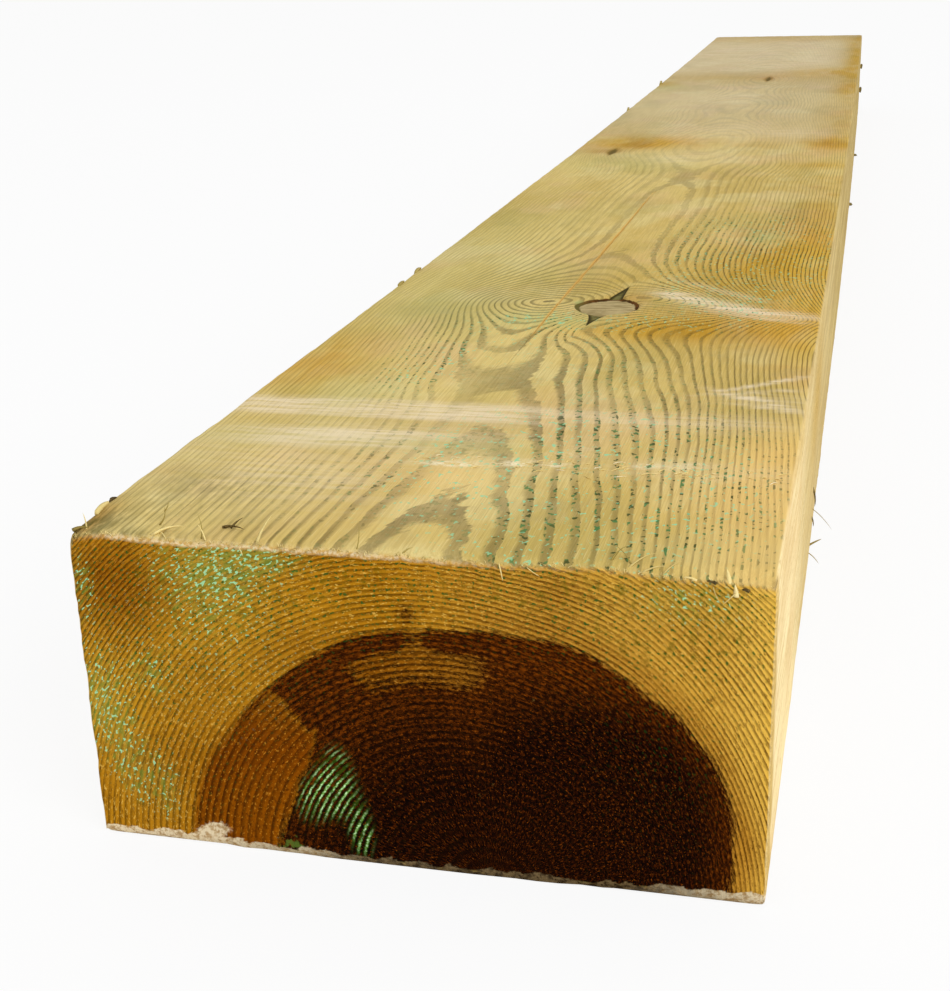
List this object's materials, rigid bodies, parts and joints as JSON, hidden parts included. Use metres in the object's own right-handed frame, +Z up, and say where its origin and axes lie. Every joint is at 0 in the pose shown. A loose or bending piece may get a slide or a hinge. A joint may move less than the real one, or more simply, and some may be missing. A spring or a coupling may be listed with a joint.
{
  "type": "railway sleeper",
  "caption": "New sawn softwood sleeper, pressure-treated, rectangular section with square-cut ends, a winged face knot and a long drying check",
  "frame": {"origin": "the centre of the underside, on the level that the sleeper lies on", "axes": "+Y along the grain from the near end to the far end, +X to the right as seen from the near end, +Z up through the 125 mm thickness"},
  "size_m": [0.25, 2.4, 0.125],
  "materials": {
    "treated_softwood": "sawn, pressure treated and unpainted: pale green-brown faces, golden end grain with a dark brown heart"
  },
  "bodies": {
    "root": {"sleeper": "treated_softwood"}
  },
  "joints": []
}
